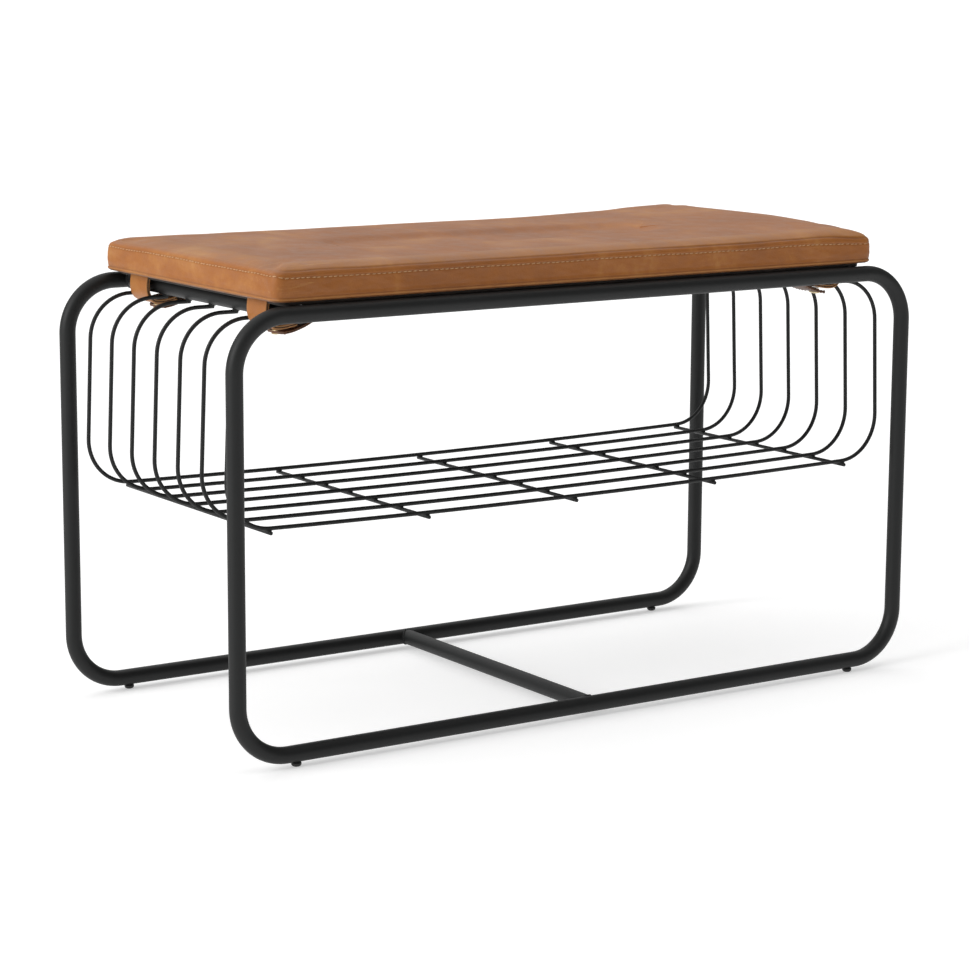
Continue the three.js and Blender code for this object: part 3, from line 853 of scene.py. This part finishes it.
COVER, PAINTED_SHADE, WEAR, STITCH_FIELD, REST_Z = seat_cover()
cushion = piece("seat_cushion", mesh_from("seat_cushion", [COVER], marks={"painted_shade": [PAINTED_SHADE], "wear": [WEAR]}),
                SEAT_LEATHER, nodes=["cover_top", "cover_band", "foam_pad"])
topstitches = mesh_from("seat_topstitch", topstitch(COVER, STITCH_FIELD, REST_Z))
piece("seat_topstitch", topstitches, THREAD)


def base_low(x):
    """Height of the lined base's under face: it sags between the rails and lies over each top bar, where
    it rises by 1.2·exp(−((|x| − bar) / 5.5)⁴)."""
    return BASE_LOW + 1.2 * np.exp(-((np.abs(x) - BAR_X) / 5.5) ** 4)


def base_rings(inset, height, sag):
    """Rings inset more at the ends than along the sides; sag is the share of each ring's height that
    follows the under face rather than the given height."""
    grid = rings(inset, height)
    grid[..., 0] *= (SEAT_X - BASE_END_INSET) / (SEAT_X - BASE_INSET)
    share = sag[:, None]
    grid[..., 2] = grid[..., 2] * (1 - share) + base_low(grid[..., 0]) * share
    return grid


def underside():
    """Lined base: rings over the edge of the board, round under and in to the middle, with the cloth
    slightly slack."""
    edge, field = [8, 0.6, 0, 0, 0.3, 1.2, 3, 10, HEM, HEM + 0.4, 20], [60, 90, 130, SEAT_Y]
    inset = np.array([SEAT_Y, *(BASE_INSET + e for e in edge), *field])
    top = LEATHER_LOW + 0.4
    height = np.array([top] * 3 + [top - 0.6, 480.4] + [478.5] * 11)
    sag = np.array([0, 0, 0, 0, 0, 0.55, 0.9] + [1.0] * 9)
    grid = base_rings(inset, height, sag)
    x, y = grid[..., 0], grid[..., 1]
    # the folded hem stands proud of the cloth inside it by its own thickness
    inside = ((inset > BASE_INSET + HEM) & (np.arange(len(inset)) > 7))[:, None]
    clear = smoothstep(np.abs(np.abs(x) - BAR_X), 6, 14)
    grid[..., 2] += inside * (0.35 + 0.12 * waves(x, y, 21, 8, 160, 40) + 0.2 * clear)
    return grid


piece("seat_underside", mesh_from("seat_underside", [underside()]), LINING,
      nodes=["cover_bottom"])


def board():
    """Ply board inside the base: an oblong slab with its edges just broken."""
    inset = np.array([SEAT_Y, BOARD_INSET + 1, BOARD_INSET, BOARD_INSET, BOARD_INSET + 1, SEAT_Y])
    low, top = [BOARD_LOW, BOARD_LOW, BOARD_LOW + 0.8], [BOARD_TOP - 0.8, BOARD_TOP, BOARD_TOP]
    return rings(inset, np.array(low + top))


piece("seat_board_ply", mesh_from("seat_board_ply", [board()]), plywood(),
      nodes=["seat_board"], sharp=40)


def staples():
    """Staple crowns round the hem, slightly askew: capsules 10 mm long and 0.6 mm thick."""
    hem = base_rings(np.array([BASE_INSET + 12.5]), np.array([0.0]), np.array([1.0]))[0]
    hem[:, 2] -= 0.18
    hem = np.concatenate([hem, hem[:1]])
    run = run_of(hem)
    count = int(run[-1] / STAPLE_PITCH)
    rng = np.random.default_rng(3)
    at = (np.arange(count) + rng.uniform(-0.1, 0.1, count)) * run[-1] / count
    spots = spots_along(hem, run, at)
    ahead = spots_along(hem, run, (at + 1) % run[-1]) - spots
    ahead /= np.linalg.norm(ahead, axis=1)[:, None]
    lean = rng.uniform(-0.25, 0.25, count)[:, None]
    ahead = ahead + lean * np.stack([-ahead[:, 1], ahead[:, 0], 0 * ahead[:, 0]], -1)
    side = np.stack([-ahead[:, 1], ahead[:, 0], 0 * ahead[:, 0]], -1)
    radius = np.array([0, 1, 1, 1, 1, 0])[None, :, None, None]
    t = np.array([-5, -4.9, -1.6, 1.6, 4.9, 5])[None, :, None, None]
    ring = circle(0.3, 5)[None, None]
    round_wire = side[:, None, None] * ring[..., :1] + np.array([0, 0, 1.0]) * ring[..., 1:]
    return list(spots[:, None, None] + ahead[:, None, None] * t + radius * round_wire)


piece("seat_staples", mesh_from("seat_staples", staples()), ZINC)


# ------------ straps and press studs

def strip_profile(width, thick):
    """Section (across, off) of two leathers glued flesh to flesh, its corners softened and a groove along
    each edge, with its cut-edge and glue-line marks."""
    w, h, r = width / 2, thick / 2, 0.55
    side = np.array([[w - r, -h], [w - 0.16, -h + 0.16], [w, -h + r], [w, -0.6], [w - 0.15, -0.35],
                     [w - 0.6, 0], [w - 0.15, 0.35], [w, 0.6], [w, h - r], [w - 0.16, h - 0.16], [w - r, h]])
    cut = np.array([0, 0.3, 1, 1, 1, 1, 1, 1, 1, 0.3, 0])
    seam = np.array([0, 0, 0, 0.2, 0.9, 1, 0.9, 0.2, 0, 0, 0])
    flat = np.linspace(w - r, -w + r, 14)[1:-1]
    blank = 0 * flat
    points = np.concatenate([side, np.stack([flat, blank + h], -1), -side, np.stack([-flat, blank - h], -1)])
    return points, np.concatenate([cut, blank, cut, blank]), np.concatenate([seam, blank, seam, blank])


def rounded_tail(distance, radius, width):
    """Share of the full width left at a distance from a strip's end, for corners of that radius."""
    d = np.clip(distance, 0, radius)
    return 1 - (radius - np.sqrt(np.maximum(radius**2 - (radius - d) ** 2, 0))) / (width / 2)


def strip(path, thick, end, side, steps, tail):
    """Two-layer strip carried along a path from the top bar's centre, its tail's corners rounded, with its
    cut-edge, glue-line and wear marks."""
    t = np.linspace(0, 1, steps)
    t = np.concatenate([t[:-1], 1 - (1 - t[-2]) * np.linspace(1, 0, 14)[1:] ** 2])
    line = curve_through(path, t)
    run = run_of(line)
    width = np.maximum(rounded_tail(run[-1] - run, tail, STRAP_WIDTH), 0.3)
    profile, cut, seam = strip_profile(STRAP_WIDTH, thick)
    grid = capped(carried(line, profile, width=width))
    ends = np.zeros((len(grid), 1))
    ends[[0, 1, -2, -1]] = 1
    edge = np.abs(profile[:, 0]) > STRAP_WIDTH / 2 - 2.2
    marks = {"cut": [np.maximum(ends, cut)], "seam": [seam + 0 * ends], "wear": [0.35 * edge + 0 * ends]}
    return at_bar(grid, end, side), marks


def at_bar(points, end, side):
    """A shape made round the right-hand top bar's centre, put at its own bar; the left end's is turned
    half round."""
    moved = points + np.array([BAR_X, 0, RAIL_TOP])
    moved[..., :2] *= end
    moved[..., 1] += side * STRAP_Y
    return moved


def stud(profile, end, side):
    """Turned part of the press stud, tilted with the strap's tail about Y and set at the snap."""
    grid = turned(profile, 40)
    x, y, z = np.moveaxis(grid, -1, 0)
    c, s = np.cos(SNAP_TILT), np.sin(SNAP_TILT)
    return at_bar(np.stack([x * c + z * s + SNAP_AT[0], y, z * c - x * s + SNAP_AT[1]], -1), end, side)


def line_stitches(path, thick, end, side, first, last, face):
    """Stitches along both edges of a strip, on one of its faces: capsules like the topstitch's."""
    line = curve_through(path, np.linspace(0, 1, 200))
    run = run_of(line)
    starts = np.arange(first, run[-1] - last, SEWING_PITCH)
    t = np.linspace(0, 1, 6)
    x, z = np.moveaxis(spots_along(line, run, starts[:, None] + SEWING_LENGTH * t), -1, 0)
    dx, dz = np.gradient(x, axis=1), np.gradient(z, axis=1)
    size = np.hypot(dx, dz)
    off = face * (thick / 2 + 0.05 + 0.18 * np.sin(np.pi * t))[None, :, None]
    radius = (SEWING_R * np.sin(np.pi * t) ** 0.35)[None, :, None]
    nx, nz = -dz / size, dx / size
    ring = circle(1.0, 6)[None, None]
    found = []
    for edge in (-1, 1):
        y = edge * (STRAP_WIDTH / 2 - SEWING_INSET)
        lift = off + radius * ring[..., 1]
        over = y + radius * ring[..., 0] + 0 * x[..., None]
        grid = np.stack([x[..., None] + nx[..., None] * lift, over, z[..., None] + nz[..., None] * lift], -1)
        found += [at_bar(g, end, side) for g in grid]
    return found


def fastening(end, side):
    """One strap, its tab and the three parts of their press stud."""
    label = corner_name(end, side)
    spot = lambda u, z: tuple(at_bar(np.array([[u, 0.0, z]]), end, side)[0] * MM)
    strap_body, tab_body = f"strap_{label}", f"tab_{label}"
    grid, marks = strip(STRAP_PATH, STRAP_THICK, end, side, 60, STRAP_TAIL_R)
    strap = piece(f"leather_strap_{label}", mesh_from("strap", [grid], marks=marks), STRAP_LEATHER,
                  body=None, nodes=[f"strap_{label}"], sharp=60)
    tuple(spot(17.2, 8.6))
    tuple(spot(17.6, 3.0))
    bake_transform(strap)
    grid, marks = strip(TAB_PATH, TAB_THICK, end, side, 60, TAB_TAIL_R)
    tab = piece(f"leather_tab_{label}", mesh_from("tab", [grid], marks=marks), SHADED_TAB_LEATHER,
                body=None, nodes=[f"tab_{label}"], sharp=60)
    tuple(spot(-77, 7.0))
    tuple(spot(-69, 4.4))
    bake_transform(tab)
    sewn = [s for face in (-1, 1) for s in line_stitches(TAB_PATH, TAB_THICK, end, side, 12, 5, face)]
    piece(f"tab_sewing_{label}", mesh_from("tab_sewing", sewn), DARK_THREAD, body=tab_body)
    sewn = mesh_from("strap_sewing", line_stitches(STRAP_PATH, STRAP_THICK, end, side, 9, 5, -1))
    piece(f"strap_sewing_{label}", sewn, DARK_THREAD, body=strap_body)
    # outlines (radius, height above a face of the tab: the outer one for the cap, the inner for the rest)
    half = TAB_THICK / 2
    cap = [[0, -2.05], [1.6, -2.0], [3.2, -1.85], [4.6, -1.55], [5.6, -1.15], [6.2, -0.85], [6.45, -0.7],
           [6.6, -0.45], [6.5, -0.1], [6.0, 0], [0, 0]]
    socket = [[0, 0], [5.5, 0], [5.55, 0.6], [5.3, 1.1], [4.7, 1.35], [3.4, 1.4], [2.9, 1.3], [2.6, 1.0],
              [2.6, 0.7], [0, 0.7]]
    post = [[0, 1.0], [1.7, 1.0], [2.15, 1.2], [2.3, 1.5], [2.1, 1.8], [4.6, 1.8], [5.1, 1.95], [5.2, 2.3],
            [5.0, 2.6], [0, 2.6]]
    for part, outline, face, body, node in (("cap", cap, -half, tab_body, "tab_cap"),
                                            ("socket", socket, half, tab_body, "tab_socket"),
                                            ("post", post, half, strap_body, "strap_stud")):
        grid = stud(np.array(outline) + [0, face], end, side)
        piece(f"stud_{part}_{label}", mesh_from(part, [grid]), BRASS, body,
              [f"{node}_{label}"], 50)


for end in (-1, 1):
    for side in (-1, 1):
        fastening(end, side)


# ------------ studio

def placed(right, up, back, place):
    """Matrix that turns X, Y and Z to right, up and back, and moves the origin to the place."""
    return Matrix(np.vstack([np.stack([right, up, back, place], -1), [0, 0, 0, 1]]).tolist())


def studio():
    """Backlit white table, which keeps shadows faint, soft light from overhead and behind, and a soft key
    low on the left."""
    material, tree, at = new_material("opal_acrylic_table")
    mottle = add(tree, "ShaderNodeTexNoise", {"Vector": at, "Scale": 2.0, "Detail": 2.0})["Fac"]
    close_material(tree, linear("#e4e4e4"), ranged(tree, mottle, 0, 1, 0.88, 0.96), others={
        "Specular IOR Level": 0.1, "Emission Color": linear("#ffffff"), "Emission Strength": 0.42})
    mesh = bpy.data.meshes.new("floor")
    mesh.from_pydata([(-120, -120, 0), (120, -120, 0), (120, 120, 0), (-120, 120, 0)], [], [(0, 1, 2, 3)])
    mesh.materials.append(material)
    linked("floor", mesh)
    world = bpy.data.worlds.new("room")
    bpy.context.scene.world = world
    world.use_nodes = True
    background = world.node_tree.nodes["Background"].inputs
    background["Color"].default_value = linear("#ffffff")
    background["Strength"].default_value = 0.20
    for name, strength, spread, elevation, azimuth in SUNS:
        light = bpy.data.lights.new(name, "SUN")
        light.energy, light.angle = strength, np.radians(spread)
        e, a = np.radians(elevation), np.radians(azimuth)
        back = np.array([np.cos(e) * np.cos(a), np.cos(e) * np.sin(a), np.sin(e)])
        right = np.cross([0, 0, 1.0], back)
        right /= np.linalg.norm(right)
        up = np.cross(back, right)
        linked(name, light).matrix_world = placed(right, up, back, [0, 0, 0])
    bpy.context.scene.view_settings.view_transform = "Standard"


def camera():
    """A long lens left of the bench's front, a little above the seat, turned right and down."""
    yaw, pitch, roll = 0.5887, -0.181, 0.0055
    ahead = np.array([np.sin(yaw) * np.cos(pitch), np.cos(yaw) * np.cos(pitch), np.sin(pitch)])
    right = np.array([np.cos(yaw), -np.sin(yaw), 0])
    up = np.cross(right, ahead)
    turned_right = right * np.cos(roll) + up * np.sin(roll)
    turned_up = up * np.cos(roll) - right * np.sin(roll)
    place = [-1.78684, -2.65697, 0.81481]
    data = bpy.data.cameras.new("camera")
    data.lens, data.sensor_width = 105.3, 36
    data.clip_end = 500
    made = linked("camera", data)
    made.matrix_world = placed(turned_right, turned_up, -ahead, place)
    bpy.context.scene.camera = made


studio()
camera()
